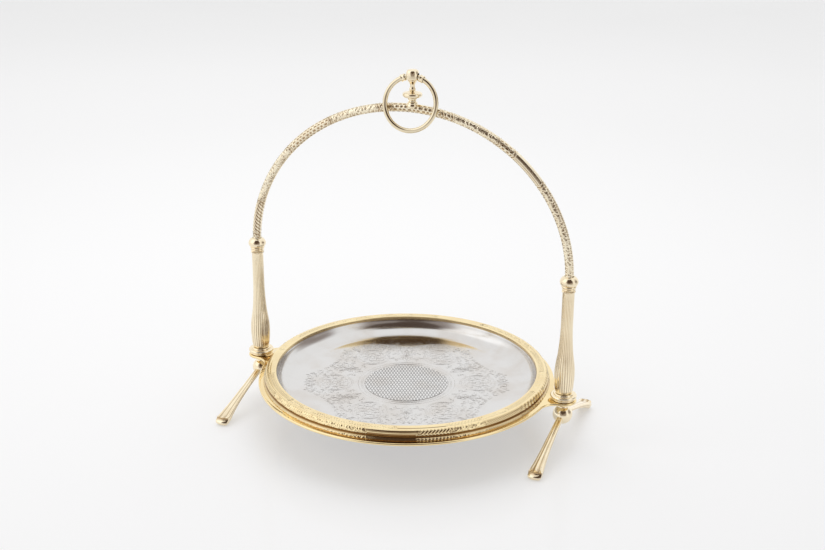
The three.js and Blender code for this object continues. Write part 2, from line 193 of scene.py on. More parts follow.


# Plated metal: cloudy tone, darker recesses and painted shade (from a vertex attribute), finger smudges, fine
# rub marks and a slight ripple
platingSockets = {
    "INPUT": {"Tone": "Color", "Recess And Shade Tone": "Color", "Roughness": "Float", "Smudge": "Float",
              "Rub Scale": "Float"},
    "OUTPUT": {"Color": "Color", "Roughness": "Float", "Height": "Float"},
}


def platedMetalGroup():
    tree = bpy.data.node_groups.new("platedMetal", "ShaderNodeTree")
    for way, sockets in platingSockets.items():
        for label, kind in sockets.items():
            tree.interface.new_socket(label, in_out=way, socket_type=f"NodeSocket{kind}")
    start = tree.nodes.new("NodeGroupInput").outputs
    end = tree.nodes.new("NodeGroupOutput").inputs
    place = addNode(tree, "ShaderNodeTexCoord").outputs["Object"]
    cloud = noiseNode(tree, place, 38.0, 3.0)
    smudge = noiseNode(tree, place, 110.0, 4.0, 0.8)
    rub = noiseNode(tree, place, start["Rub Scale"])
    recessAndShade = addNode(tree, "ShaderNodeAttribute", attribute_name="recessAndShade").outputs["Fac"]
    deeper = blendColor(tree, 1.0, start["Tone"], (0.93, 0.9, 0.87, 1), "MULTIPLY")
    toned = blendColor(tree, spread(tree, cloud, 0.35, 0.7), start["Tone"], deeper)
    tree.links.new(blendColor(tree, recessAndShade, toned, start["Recess And Shade Tone"]), end["Color"])
    smudged = mathNode(tree, "MULTIPLY", spread(tree, smudge, 0.45, 0.75), start["Smudge"])
    rubbed = mathNode(tree, "MULTIPLY", spread(tree, rub, 0.5, 0.8), 0.05)
    rough = mathNode(tree, "ADD", mathNode(tree, "ADD", start["Roughness"], smudged), rubbed)
    tree.links.new(mathNode(tree, "ADD", rough, mathNode(tree, "MULTIPLY", recessAndShade, 0.12)), end["Roughness"])
    tree.links.new(mathNode(tree, "ADD", mathNode(tree, "MULTIPLY", cloud, 0.6),
                            mathNode(tree, "MULTIPLY", rub, 0.4)), end["Height"])
    return tree


platedMetal = platedMetalGroup()


def metalMaterial(name, finish):
    material = bpy.data.materials.new(name)
    material.use_nodes = True
    tree = material.node_tree
    shader = tree.nodes["Principled BSDF"]
    shader.inputs["Metallic"].default_value = 1.0
    values = {"Tone": (*finish["tone"], 1), "Recess And Shade Tone": (*finish["recessAndShade"], 1),
              "Roughness": finish["roughness"], "Smudge": finish["smudge"], "Rub Scale": finish["rubScale"]}
    metal = addNode(tree, "ShaderNodeGroup", values, node_tree=platedMetal, name="metal")
    bump = addNode(tree, "ShaderNodeBump", {"Height": metal.outputs["Height"], "Strength": finish["ripple"],
                                            "Distance": 0.0004})
    tree.links.new(metal.outputs["Color"], shader.inputs["Base Color"])
    tree.links.new(metal.outputs["Roughness"], shader.inputs["Roughness"])
    tree.links.new(bump.outputs["Normal"], shader.inputs["Normal"])
    return material


finishColumns = ("slot", "tone", "recessAndShade", "roughness", "smudge", "rubScale", "ripple")
finishRows = {
    "paleGold": ("pale_gold", (0.98, 0.87, 0.65), (0.45, 0.3, 0.15), 0.1, 0.06, 1400.0, 0.08),
    "archGold": ("etched_gold", (0.98, 0.89, 0.69), (0.42, 0.28, 0.15), 0.22, 0.06, 1800.0, 0.1),
    "etchedGold": ("etched_gold", (0.97, 0.81, 0.49), (0.24, 0.115, 0.03), 0.1, 0.06, 1800.0, 0.1),
    "warmGold": ("warm_gold", (0.97, 0.8, 0.47), (0.4, 0.2, 0.05), 0.04, 0.05, 1200.0, 0.05),
    "ringGold": ("warm_gold", (0.84, 0.74, 0.54), (0.4, 0.28, 0.15), 0.03, 0.04, 1200.0, 0.05),
    "panSilver": ("silver", (0.74, 0.73, 0.72), (0.2, 0.2, 0.2), 0.13, 0.03, 900.0, 0.05),
    "engravedSilver": ("silver", (0.7, 0.69, 0.68), (0.2, 0.2, 0.2), 0.26, 0.04, 2000.0, 0.08),
    "latticeSilver": ("silver", (0.82, 0.81, 0.8), (0.22, 0.22, 0.22), 0.2, 0.04, 2000.0, 0.05),
    "steel": ("steel", (0.5, 0.5, 0.51), (0.2, 0.2, 0.2), 0.34, 0.1, 2600.0, 0.4),
}
finishes = {name: dict(zip(finishColumns, row)) for name, row in finishRows.items()}
metals = {name: metalMaterial(name, finish) for name, finish in finishes.items()}

# The engraved field of the pan's floor has six lobes; the floor outside it is mirror bright
engravedField = {
    "radius": 81.0,
    "lobe": 17.0,
    "turn": math.radians(19.65),
    "mirrorRoughness": 0.055,
    "wallRoughness": 0.17,
    "wallFrom": 37.0,
}


def fieldReach(angle):
    lobe = abs(math.cos(3 * (angle - engravedField["turn"])))
    return engravedField["radius"] + engravedField["lobe"] * lobe


def polishPan():
    tree = metals["panSilver"].node_tree
    place = addNode(tree, "ShaderNodeTexCoord").outputs["Object"]
    parts = addNode(tree, "ShaderNodeSeparateXYZ", {"Vector": place}).outputs
    flat = addNode(tree, "ShaderNodeCombineXYZ", {"X": parts["X"], "Y": parts["Y"]}).outputs[0]
    radius = addNode(tree, "ShaderNodeVectorMath", {0: flat}, operation="LENGTH").outputs["Value"]
    angle = mathNode(tree, "ARCTAN2", parts["Y"], parts["X"])
    fromLobe = mathNode(tree, "MULTIPLY", mathNode(tree, "SUBTRACT", angle, engravedField["turn"]), 3.0)
    lobes = mathNode(tree, "ABSOLUTE", mathNode(tree, "COSINE", fromLobe))
    sizes = {0: lobes, 1: engravedField["lobe"] * mm, 2: engravedField["radius"] * mm}
    edge = addNode(tree, "ShaderNodeMath", sizes, operation="MULTIPLY_ADD").outputs[0]
    outside = spread(tree, mathNode(tree, "SUBTRACT", radius, edge), -0.5 * mm, 0.5 * mm)
    onFloor = spread(tree, parts["Z"], engravedField["wallFrom"] * mm, (engravedField["wallFrom"] - 1) * mm)
    mirror = mathNode(tree, "MULTIPLY", outside, onFloor)
    soft = finishes["panSilver"]["roughness"]
    rough = addNode(tree, "ShaderNodeMapRange", {"Value": mirror, "To Min": soft,
                                                 "To Max": engravedField["mirrorRoughness"]}).outputs[0]
    onWall = mathNode(tree, "SUBTRACT", 1.0, onFloor)
    softer = mathNode(tree, "MULTIPLY", onWall, engravedField["wallRoughness"] - soft)
    tree.links.new(mathNode(tree, "ADD", rough, softer), tree.nodes["metal"].inputs["Roughness"])


polishPan()
print("materials made")

# Hidden ironwork keeps its CAD shape
for node in ("left_tie_rod", "right_tie_rod", "left_arch_plug", "right_arch_plug", "finial_stud"):
    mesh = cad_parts[node].data
    mesh.materials.clear()
    mesh.materials.append(metals["steel"])

# Places shared by the pieces, in mm
stand = {
    "postX": 150,
    "bore": 2.3,
    "archSpring": 157.8,
    "archRise": 140,
    "tube": 3.9,
}


# Chased ornament: each function gives a height from -1 to 1 at a place along and across a band, in mm
bandPitch = {"floral": 7.4, "rope": 2.2, "grooves": 2.1, "dashes": 2.9, "dashRows": 1.8, "chevron": 3.1,
             "leaf": 5.2}


def petalled(u, v, petals, radius):
    distance = math.hypot(u, v)
    edge = radius * (0.64 + 0.36 * math.cos(petals * math.atan2(v, u)))
    return smoothStep(edge + 0.3, edge - 0.3, distance) - 1.1 * smoothStep(0.8, 0.4, distance)


def leafShape(u, v, angle, length, width):
    along = u * math.cos(angle) + v * math.sin(angle)
    side = abs(v * math.cos(angle) - u * math.sin(angle))
    if not 0 < along < length:
        return 0.0
    edge = width * math.sin(math.pi * (along / length) ** 0.8)
    return smoothStep(edge + 0.25, edge - 0.25, side) * (1 - 0.7 * smoothStep(0.3, 0.0, side))


def floralBand(along, across, width):
    pitch = bandPitch["floral"]
    middle = width / 2
    cell = math.floor(along / pitch)
    u = along - (cell + 0.5) * pitch
    v = across - middle
    hand = 1 if cell % 2 else -1
    height = petalled(u, v, 4, min(2.6, middle))
    for side in (-1, 1):
        start = u + side * pitch / 2
        height = max(height, leafShape(start, v, 0.9 * hand, 3.6, 0.9))
        height = max(height, leafShape(-start, -v, 0.9 * hand, 3.6, 0.9))
    dots = math.sin(along * 3.5 + 1.8 * math.sin(across * 2.1)) * math.sin(across * 3.2 + along)
    return height if height > 0.15 else 0.1 - smoothStep(0.1, 0.5, dots)


def ropeBand(along, across, width):
    return math.cos(fullTurn * (along + 0.9 * across) / bandPitch["rope"]) * 0.9


def groovedBand(along, across, width):
    return -smoothStep(0.75, 1.0, math.cos(fullTurn * across / bandPitch["grooves"]))


def dashedBand(along, across, width):
    rows = across / bandPitch["dashRows"]
    row = math.floor(rows)
    dash = math.cos(fullTurn * (along + 1.35 * (row % 2) + 0.3 * math.sin(along * 0.8)) / bandPitch["dashes"])
    line = math.cos(fullTurn * (rows - row - 0.5))
    return 0.2 - 1.2 * smoothStep(-0.5, 0.5, line) * smoothStep(-0.7, 0.2, dash)


def chevronBand(along, across, width):
    point = along - 1.1 * abs(across - width / 2)
    return 0.9 * math.cos(fullTurn * point / bandPitch["chevron"])


def leafBand(along, across, width):
    pitch = bandPitch["leaf"]
    u = (along % pitch) - 0.6
    v = across - width / 2
    return max(leafShape(u, v, 0.75, pitch, 1.1), leafShape(u, v, -0.75, pitch, 1.1),
               leafShape(u, v, 0, 4.6, 0.9)) * 1.5 - 0.6


def plainBand(along, across, width):
    # two grooves side by side
    return -sum(smoothStep(0.7, 0.2, abs(across - width * share)) for share in (0.24, 0.38))


bandKinds = {
    "floral": floralBand,
    "rope": ropeBand,
    "grooves": groovedBand,
    "dashes": dashedBand,
    "chevron": chevronBand,
    "leaf": leafBand,
    "plain": plainBand,
}


bracket = {"point": 0.55, "reach": 1.5, "pitch": 1.2}


def zonedHeight(starts, kinds, along, across, width):
    # a pointed bracket stands where one zone ends and the next starts
    pointed = along + bracket["point"] * abs(across - width / 2)
    index = clamp(bisect_right(starts, pointed) - 1, 0, len(kinds) - 1)
    fromEnd = min(pointed - starts[index], starts[index + 1] - pointed)
    if fromEnd < bracket["reach"]:
        return math.cos(fullTurn * (fromEnd - 0.9) / bracket["pitch"]) * 0.9
    return bandKinds[kinds[index]](along, across, width)


# Tray: a pressed pan under an etched band
pan = {
    "floor": 34.5,
    "sheet": 0.9,
    "floorRings": (0, 40, 72),
    "flatRadius": 81.0,
    "sweepRadius": 105.0,
    "sweep": (0.001585, 0.0000341),
    "cove": [(109.0, 36.7), (112.5, 37.9), (115.5, 39.6), (118.0, 41.9), (119.9, 44.9), (121.2, 48.2)],
    "wall": 122.0,
    "wallFoot": 49.4,
    "flange": 50.9,
    "flangeRadius": 129.2,
}


def floorHeight(radius):
    # flat in the middle, then a slight sweep up towards the cove
    out = max(radius - pan["flatRadius"], 0)
    return pan["floor"] + pan["sweep"][0] * out**2 + pan["sweep"][1] * out**3


def makePan():
    thick = pan["sheet"]
    radii = [pan["flatRadius"] + (pan["sweepRadius"] - pan["flatRadius"]) * i / 12 for i in range(13)]
    sweep = [(r, floorHeight(r)) for r in radii]
    cove = throughPoints([*sweep[-2:], *pan["cove"]])[4:]
    top = [(r, pan["floor"]) for r in pan["floorRings"]] + sweep + cove[1:]
    under = []
    for before, point, after in zip(top, top[1:], top[2:]):
        way = (Vector(after) - Vector(before)).normalized()
        under.append((point[0] + way.y * thick, point[1] - way.x * thick))
    wall, flange, edge = pan["wall"], pan["flange"], pan["flangeRadius"]
    profile = top + [(wall, pan["wallFoot"]), (wall, flange - 0.3), (wall + 0.3, flange)]
    profile += [(edge, flange), (edge, flange - thick), (wall + thick, flange - thick)]
    profile += reversed(under)
    profile += [(0, pan["floor"] - thick)]
    bm = turned(profile, steps=256)
    finishPiece("trayPan", bm, "panSilver", "tray", ["tray_pan"], corner=40)


# The middle of the floor: a round field of small raised diamonds
latticeField = {
    "radius": 39.0,
    "pitch": 2.75,
    "slant": math.radians(18.5),
    "height": 0.34,
    "lift": 0.02,
    "sunk": 0.2,
    "steps": 230,
}


def makeLattice():
    radius = latticeField["radius"]
    pitch = latticeField["pitch"]

    def diamond(u, v):
        x = (u - 0.5) * 2 * radius
        y = (v - 0.5) * 2 * radius
        one = polar(1, engravedField["turn"] + latticeField["slant"])
        other = polar(1, engravedField["turn"] - latticeField["slant"])
        a = abs(math.sin(math.pi * (x * one.x + y * one.y) / pitch))
        b = abs(math.sin(math.pi * (x * other.x + y * other.y) / pitch))
        full = smoothStep(0.0, 0.55, min(a, b))
        return Vector((x, y, pan["floor"] + latticeField["lift"] + latticeField["height"] * full)), 1 - full

    bm = wrapped(latticeField["steps"], latticeField["steps"], diamond)
    outside = [v for v in bm.verts if math.hypot(v.co.x, v.co.y) > radius * mm]
    bmesh.ops.delete(bm, geom=outside, context="VERTS")
    rim = [e for e in bm.edges if e.is_boundary]
    skirt = bmesh.ops.extrude_edge_only(bm, edges=rim)["geom"]
    for vert in (g for g in skirt if isinstance(g, bmesh.types.BMVert)):
        vert.co.z = (pan["floor"] - latticeField["sunk"]) * mm
    finishPiece("trayLattice", bm, "latticeSilver", "tray", corner=50)


# The rest of the engraving: fine raised lines
engraving = {
    "line": 0.145,
    "lift": 0.03,
    "rings": (39.4, 41.2, 42.4, 45.4),
    "sectors": 6,
    "medallionAt": 67.0,
    "medallion": 17.0,
    "heartAt": 62.0,
    "curls": 30,
    "curlsFrom": 47.5,
    "curlsReach": 46.0,
}


def ringStroke(centre, radius, lobes=0, swing=0.0, points=64, start=0.0):
    line = []
    for i in range(points):
        a = fullTurn * i / points
        line.append(centre + polar(radius + swing * math.cos(lobes * a), a + start))
    return line, True


def petalStroke(base, angle, length, width, points=12):
    axis = polar(1, angle)
    side = Vector((-axis.y, axis.x))
    line = []
    for i in range(points + 1):
        t = i / points
        line.append(base + axis * length * t + side * width * math.sin(math.pi * t**0.75))
    for i in range(points - 1, 0, -1):
        t = i / points
        line.append(base + axis * length * t - side * width * math.sin(math.pi * t**0.75))
    return line, True


def scrollStroke(base, angle, length, curl, hand, points):
    # runs out along the angle, bends to one side and curls up
    line = [base.copy()]
    heading = angle
    step = length / points
    for i in range(points):
        t = i / points
        heading += hand * curl * (0.25 + 2.6 * t**2) / points
        line.append(line[-1] + polar(step * (1 - 0.55 * t), heading))
    return line, False


def sectorStrokes(turn):
    strokes = []
    between = turn + math.pi / engraving["sectors"]
    centre = polar(engraving["medallionAt"], turn)
    size = engraving["medallion"]
    for inset in (0, 1.5, 8.6):
        strokes.append(ringStroke(centre, size - inset, points=56))
    strokes.append(ringStroke(centre, size - 4.4, 14, 1.1, 84, turn))
    for k in range(8):
        way = turn + k * math.pi / 4
        strokes.append(petalStroke(centre + polar(2.0, way), way, 6.0, 1.6, 8))
        strokes.append(scrollStroke(centre + polar(9.0, way), way + 0.5, 6.0, 5.0, 1, 10))
    heart = polar(engraving["heartAt"], between)
    for k in (-2, -1, 0, 1, 2):
        strokes.append(petalStroke(heart, between + 0.42 * k, 16 - 2.2 * abs(k), 1.9 - 0.2 * abs(k)))
        strokes.append(petalStroke(heart, between + math.pi + 0.42 * k, 11 - 1.6 * abs(k), 1.3))
    strokes.append(ringStroke(heart, 2.4, points=18))
    # middle, radius, place beside the middle, lean, length, curl, side and points of each large scroll
    scrolls = [
        (between, 48, 0.0, 0.4, 30, 7.4, 1, 34),
        (between, 72, 0.05, 0.7, 30, 8.0, -1, 34),
        (turn, 86, 0.03, 1.2, 26, 8.0, -1, 24),
        (turn, 87, 0.16, 0.4, 18, 8.5, 1, 22),
    ]
    for hand in (-1, 1):
        for middle, radius, aside, lean, length, curl, way, points in scrolls:
            base = polar(radius, middle + aside * hand)
            strokes.append(scrollStroke(base, middle + lean * hand, length, curl, way * hand, points))
        strokes.append(petalStroke(polar(85.5, turn + 0.05 * hand), turn + 0.5 * hand, 8.0, 1.5))
    strokes.append(petalStroke(polar(85.0, turn), turn, 11.0, 1.8))
    return strokes + curlStrokes(turn)


def curlStrokes(turn):
    # small curls and leaves that fill the ground of one sector, mirrored about its middle
    strokes = []
    for i in range(engraving["curls"]):
        radius = engraving["curlsFrom"] + engraving["curlsReach"] * math.sqrt((i + 0.5) / engraving["curls"])
        lean = (i * 0.618034) % 1.0 * math.pi / engraving["sectors"]
        spot = polar(radius, turn + lean)
        away = (spot - polar(engraving["medallionAt"], turn)).length
        if away < engraving["medallion"] + 1.2 or radius > fieldReach(turn + lean) - 2:
            continue
        for hand in (-1, 1):
            spot = polar(radius, turn + hand * lean)
            way = turn + hand * (lean + 2.4 * i)
            strokes.append(scrollStroke(spot, way, 10.0, 7.0, hand, 14))
            strokes.append(petalStroke(spot, way + 2.2 * hand, 4.6, 1.2, 6))
    return strokes


def makeEngraving():
    origin = Vector((0, 0))
    strokes = [ringStroke(origin, radius, points=160) for radius in engraving["rings"]]
    for k in range(engraving["sectors"]):
        strokes += sectorStrokes(engravedField["turn"] + fullTurn * k / engraving["sectors"])
    curve = bpy.data.curves.new("engravingLines", "CURVE")
    curve.dimensions = "3D"
    curve.bevel_depth = engraving["line"] * mm
    curve.bevel_resolution = 0
    for line, joined in strokes:
        spline = curve.splines.new("POLY")
        spline.points.add(len(line) - 1)
        spline.use_cyclic_u = joined
        for point, where in zip(spline.points, line):
            height = floorHeight(where.length) + engraving["lift"]
            point.co = (where.x * mm, where.y * mm, height * mm, 1)
    lines = bpy.data.objects.new("engravingLines", curve)
    mesh = bpy.data.meshes.new_from_object(lines)
    bpy.data.objects.remove(lines)
    placePiece("trayEngraving", mesh, "engravedSilver", "tray", corner=60)


# The band round the tray's edge, from its hem round the outside, over the top and down inside
rimBand = {
    "outer": 132.2,
    "inner": 120.9,
    "bottom": 45.8,
    "skirt": 43.3,
    "skirtInner": 130.6,
    "skirtFlare": 1.3,
    "faceLean": 0.9,
    "seam": 46.2,
    "sideFrom": 46.4,
    "hemTop": 46.8,
    "lipBack": 121.6,
    "top": 52.0,
    "shoulder": 2.2,
    "lip": 3.2,
    "sheet": 0.8,
    "hem": 126.3,
    "steps": 1800,
    "relief": 0.3,
    "topRelief": 0.2,
    "zones": [  # degrees anticlockwise from the right, and what starts there
        (0, "leaf"), (14, "rope"), (34, "floral"), (70, "grooves"), (92, "chevron"), (104, "floral"),
        (140, "rope"), (160, "leaf"), (176, "grooves"), (200, "rope"), (226, "floral"), (274.5, "plain"),
        (294, "chevron"), (307, "floral"), (321, "rope"), (340, "leaf"), (360, "end"),
    ],
}


def rimProfile():
    outer, top = rimBand["outer"], rimBand["top"]
    shoulder, sheet = rimBand["shoulder"], rimBand["sheet"]
    centreR, centreZ = outer - shoulder, top - shoulder
    behind, skirt = rimBand["skirtInner"], rimBand["skirt"]
    inner, lipBack, lipEnd = rimBand["inner"], rimBand["lipBack"], top - rimBand["lip"]
    hem, bottom, hemTop = rimBand["hem"], rimBand["bottom"], rimBand["hemTop"]
    line = [(hem, bottom), (behind, bottom), (behind, skirt + 0.2)]
    line += [(behind + 0.2, skirt), (outer - 0.3, skirt)]
    line += [(outer, skirt + 0.3 + (centreZ - skirt - 0.3) * i / 16) for i in range(16)]
    line += arcLine(centreR, centreZ, shoulder, 0, 90, 6)
    line += [(centreR - (centreR - lipBack) * i / 11, top) for i in range(1, 12)]
    line += arcLine(inner + 0.8, top - 0.6, 0.6, 115, 175, 2)
    line += [(inner + out, top - down) for out, down in ((0.15, 1.2), (0.07, 1.7), (0, 2.2), (-0.05, 2.8))]
    line += [(inner + 0.1, lipEnd), (lipBack, lipEnd), (lipBack + 0.1, top - sheet), (centreR, top - sheet)]
    line += arcLine(centreR, centreZ, shoulder - sheet, 60, 0, 2)
    line += [(outer - sheet, hemTop), (hem, hemTop), (hem, bottom)]
    return line


def makeRimBand():
    profile = rimProfile()
    outer, top, shoulder = rimBand["outer"], rimBand["top"], rimBand["shoulder"]
    centreR, centreZ = outer - shoulder, top - shoulder
    sideFrom = rimBand["sideFrom"]
    sideWidth = centreZ - sideFrom + shoulder * math.pi / 4
    starts = [math.radians(a) * outer for a, kind in rimBand["zones"]]
    kinds = [kind for a, kind in rimBand["zones"][:-1]]

    def place(u, v):
        r, z = profile[round(v * (len(profile) - 1))]
        angle = fullTurn * u
        along = angle * outer
        push, darkness = 0.0, 0.0
        normal = (0, 0)
        seam = smoothStep(1.5, 0.6, abs(z - rimBand["seam"])) if r > outer - 0.01 else 0.0
        flare = rimBand["skirtFlare"] * smoothStep(sideFrom, rimBand["skirt"], z) if r > outer - 0.4 else 0.0
        lean = rimBand["faceLean"] * smoothStep(sideFrom, 51.0, z) * smoothStep(centreR - 6, centreR, r)
        onSkirt = smoothStep(46.0, 45.2, z)
        if r > outer - 0.01:
            normal = (1, 0)
            push = zonedHeight(starts, kinds, along, abs(z - sideFrom), sideWidth) * rimBand["relief"]
            push = push * (1 - seam) - 0.7 * seam
        elif z > centreZ and r > centreR and math.hypot(r - centreR, z - centreZ) > shoulder - 0.1:
            lift = math.atan2(z - centreZ, r - centreR)
            normal = (math.cos(lift), math.sin(lift))
            across = min(centreZ - sideFrom + shoulder * lift, sideWidth)
            fade = smoothStep(math.pi / 2, 0.6, lift)
            push = zonedHeight(starts, kinds, along, across, sideWidth) * rimBand["relief"] * fade
        elif z > top - 0.01 and r <= centreR:
            normal = (0, 1)
            across = centreR - r
            fade = smoothStep(0.4, 1.2, across) * smoothStep(8.6, 6.4, across)
            push = zonedHeight(starts, kinds, along * 0.96, across, 8.4) * rimBand["topRelief"] * fade
        if push < 0:
            darkness = clamp(-push / rimBand["relief"]) * 0.9
        if normal == (0, 1):
            # on top only the deepest cuts are dark
            darkness = 0.9 * smoothStep(0.6, 1.0, -push / rimBand["topRelief"])
        if abs(r - rimBand["inner"]) < 0.2 and top - 3 < z < top - 1:
            # the lip is beaded and tarnished between the beads
            bead = math.cos(along * fullTurn / 2.3) * math.cos(math.pi * (z - top) / 1.1)
            normal = (-1, 0)
            push = 0.03 * bead
            darkness = 0.35 - 0.3 * bead
        if r > outer - 0.5 and z < centreZ:
            # painted shade: the seam groove, and less the skirt below it, are darkened for the shade and dark
            # reflection in the gap between band and carrier
            darkness = max(darkness * (1 - 0.5 * onSkirt), seam, 0.25 * onSkirt)
        r += normal[0] * push + flare - lean
        z += normal[1] * push
        return Vector((r * math.cos(angle), r * math.sin(angle), z)), darkness

    bm = wrapped(rimBand["steps"], len(profile) - 1, place)
    finishPiece("trayRimBand", bm, "etchedGold", "tray", ["tray_rim_band"], corner=60)


makePan()
makeLattice()
makeEngraving()
makeRimBand()
print("tray made")

# Carrier: a ring plate with a rolled edge and an ear at each side
carrier = {
    "radius": 138,
    "ear": 12,
    "fillet": 15,
    "opening": 124.3,
    "top": 43.0,
    "seat": 45.5,
    "seatRadius": 129.9,
    "sheet": 1.3,
    "bottom": 40.7,
    "round": 1.1,
    "roll": [(1.3, 0.0), (0.9, -0.08), (0.3, 0.15), (0.0, 0.6)],
}


def outlinePoints(inset):
    radius = carrier["radius"] - inset
    ear = carrier["ear"] - inset
    fillet = carrier["fillet"] + inset
    postX = stand["postX"]
    far, near = radius + fillet, ear + fillet
    filletX = (postX**2 + far**2 - near**2) / (2 * postX)
    filletY = math.sqrt(far**2 - filletX**2)
    onCircle = math.atan2(filletY, filletX)
    onEar = math.atan2(filletY, filletX - postX)
    arcs = [
        (0, 0, radius, onCircle, math.pi - onCircle, 150),
        (-filletX, filletY, fillet, -onCircle, -onEar, 14),
        (-postX, 0, ear, math.pi - onEar, math.pi + onEar, 36),
        (-filletX, -filletY, fillet, onEar, onCircle, 14),
    ]
    half = []
    for x, y, size, start, end, steps in arcs:
        half += [Vector((x, y)) + polar(size, start + (end - start) * i / steps) for i in range(steps)]
    points = half + [-p for p in half]
    return points + [points[0]]


def makeCarrier():
    top, under = carrier["top"], carrier["top"] - carrier["sheet"]
    edge = [(inset, carrier["bottom"] + up) for inset, up in carrier["roll"]]
    edge += [(0, top - carrier["round"])]
    edge += [(carrier["round"] * (1 - math.cos(a)), top - carrier["round"] * (1 - math.sin(a)))
             for a in (math.pi / 12 * k for k in range(1, 7))]
    loops = [(outlinePoints(inset), z) for inset, z in edge]
    base = outlinePoints(0)

    def circle(radius):
        return [p.normalized() * radius for p in base]

    opening = carrier["opening"]
    seat, step = carrier["seat"], carrier["seatRadius"]
    loops += [(circle(step + 0.3), top), (circle(step), top + 0.3), (circle(step), seat - 0.4)]
    loops += [(circle(step - 0.4), seat), (circle(opening + 0.6), seat), (circle(opening), seat - 0.6)]
    loops += [(circle(opening), under + 0.2), (circle(opening + 0.3), under)]
    loops += [(outlinePoints(carrier["sheet"] + 0.4), under), (outlinePoints(carrier["sheet"]), under - 0.4)]
    loops += [loops[0]]

    def place(u, v):
        points, z = loops[round(v * (len(loops) - 1))]
        point = points[round(u * (len(points) - 1))]
        return Vector((point.x, point.y, z)), 0.0

    bm = wrapped(len(base) - 1, len(loops) - 1, place)
    finishPiece("carrierRing", bm, "warmGold", "stand", ["carrier_ring"], corner=50)


makeCarrier()
print("carrier made")

# Posts, collars, knobs and hubs
post = {
    "reeds": 24,
    "reedDepth": 0.32,
    "swell": 0.22,
    "bottom": 50.0,
    "top": 148.0,
    "profile": [
        (6.0, 50.0), (6.8, 50.0), (7.5, 51.6), (8.18, 54.9), (8.7, 62.7), (8.85, 68.6), (8.59, 74.5),
        (7.84, 80.4), (6.75, 87.2), (6.11, 94.1), (5.55, 101.9), (5.2, 111.7), (5.1, 123.5), (5.1, 143.5),
    ],
    "neckRing": [
        (5.1, 145.4), (5.1, 146.0), (5.1, 146.0), (5.6, 146.5), (5.7, 147.0), (5.4, 147.6), (5.0, 148.0),
    ],
    "reedsStart": (50.2, 53.0),
    "reedsEnd": (142.6, 144.6),
    "grooveDarkening": (80, 105),
    "beads": 32,
    "beadRow": (146.2, 147.9),
    "beadMiddle": 147.0,
    "beadHeight": 0.22,
}
knob = {
    "bottom": 148.3,
    "top": 160.8,
    "socket": 4.2,
    "socketFloor": 154.8,
    "profile": [
        (4.9, 148.3), (5.6, 148.35), (6.15, 149.0), (6.15, 149.5), (5.6, 150.0), (5.6, 150.0), (5.7, 150.5),
        (6.6, 151.2), (6.75, 151.8), (6.4, 152.3), (6.4, 152.3), (6.8, 152.9), (7.7, 153.8), (8.2, 155.2),
        (8.2, 156.4), (7.7, 157.9), (6.7, 159.3), (5.7, 160.3), (4.9, 160.8),
    ],
}
collar = {
    "bottom": 43.3,
    "top": 49.7,
    "profile": [
        (9.8, 43.3), (10.4, 43.4), (10.8, 44.0), (10.8, 44.6), (10.3, 45.1), (10.3, 45.1), (11.3, 45.5),
        (11.9, 46.3), (11.9, 47.2), (11.2, 48.0), (10.3, 48.2), (9.6, 48.0), (9.6, 48.0), (9.2, 48.2),
        (9.1, 48.9), (8.7, 49.5), (8.1, 49.7), (7.3, 49.7),
    ],
}
hub = {
    "middle": 28,
    "ball": 9,
    "ballEnd": 58,
    "rodEnd": 21.7,
    "top": 41.4,
    "neck": [
        (4.77, 35.63), (4.55, 36.4), (4.5, 36.9), (5.1, 37.3), (5.5, 37.9), (5.1, 38.5), (4.6, 38.9),
        (4.5, 39.5), (5.0, 40.3), (6.2, 40.8), (6.4, 41.1), (6.2, 41.4),
    ],
}


def makePost(side, x):
    line = throughPoints(post["profile"], 5) + throughPoints(post["neckRing"])
    line = [(stand["bore"], post["bottom"])] + line + [(stand["bore"], post["top"])]
    bm = turned(line, steps=post["reeds"] * 8, joined=True)
    recessAndShade = bm.verts.layers.float["recessAndShade"]
    for vert in bm.verts:
        r, z = math.hypot(vert.co.x, vert.co.y) / mm, vert.co.z / mm
        if r < stand["bore"] + 0.5:
            continue  # the bore stays plain
        angle = math.atan2(vert.co.y, vert.co.x)
        cut = (1 - abs(math.sin(post["reeds"] / 2 * angle))) ** 2.6
        cut *= smoothStep(*post["reedsStart"], z) * (1 - smoothStep(*post["reedsEnd"], z))
        bead = 0.0
        if post["beadRow"][0] < z < post["beadRow"][1]:
            bead = math.cos(post["beads"] * angle + (z - post["beadMiddle"]) * 2) * post["beadHeight"]
        grow = 1 + (bead + post["swell"] - post["reedDepth"] * cut) / r
        vert.co.x *= grow
        vert.co.y *= grow
        # the reed grooves are darker towards the bottom
        vert[recessAndShade] = clamp(cut * (0.85 - 0.4 * smoothStep(*post["grooveDarkening"], z)) - bead)
    bmesh.ops.translate(bm, verts=bm.verts, vec=(x * mm, 0, 0))
    finishPiece(f"{side}Post", bm, "paleGold", "stand", [f"{side}_post"], corner=70)


def makeTurnings(side, x):
    bore = stand["bore"]
    line = [(bore, knob["bottom"])] + throughPoints(knob["profile"]) + [(knob["socket"], knob["top"])]
    line += [(knob["socket"], knob["socketFloor"]), (bore, knob["socketFloor"])]
    bm = turned(line, steps=72, at=(x, 0), joined=True)
    finishPiece(f"{side}PostKnob", bm, "paleGold", "stand", [f"{side}_post_knob"])
    line = [(bore, collar["bottom"])] + throughPoints(collar["profile"]) + [(bore, collar["top"])]
    bm = turned(line, steps=96, at=(x, 0), joined=True)
    finishPiece(f"{side}PostCollar", bm, "paleGold", "stand", [f"{side}_post_collar"])
    line = arcLine(0, hub["middle"], hub["ball"], -90, hub["ballEnd"], 26) + throughPoints(hub["neck"])[1:]
    line += [(bore, hub["top"]), (bore, hub["rodEnd"]), (0, hub["rodEnd"])]
    bm = turned(line, steps=80, at=(x, 0))
    finishPiece(f"{side}FootHub", bm, "paleGold", "stand", [f"{side}_foot_hub"])


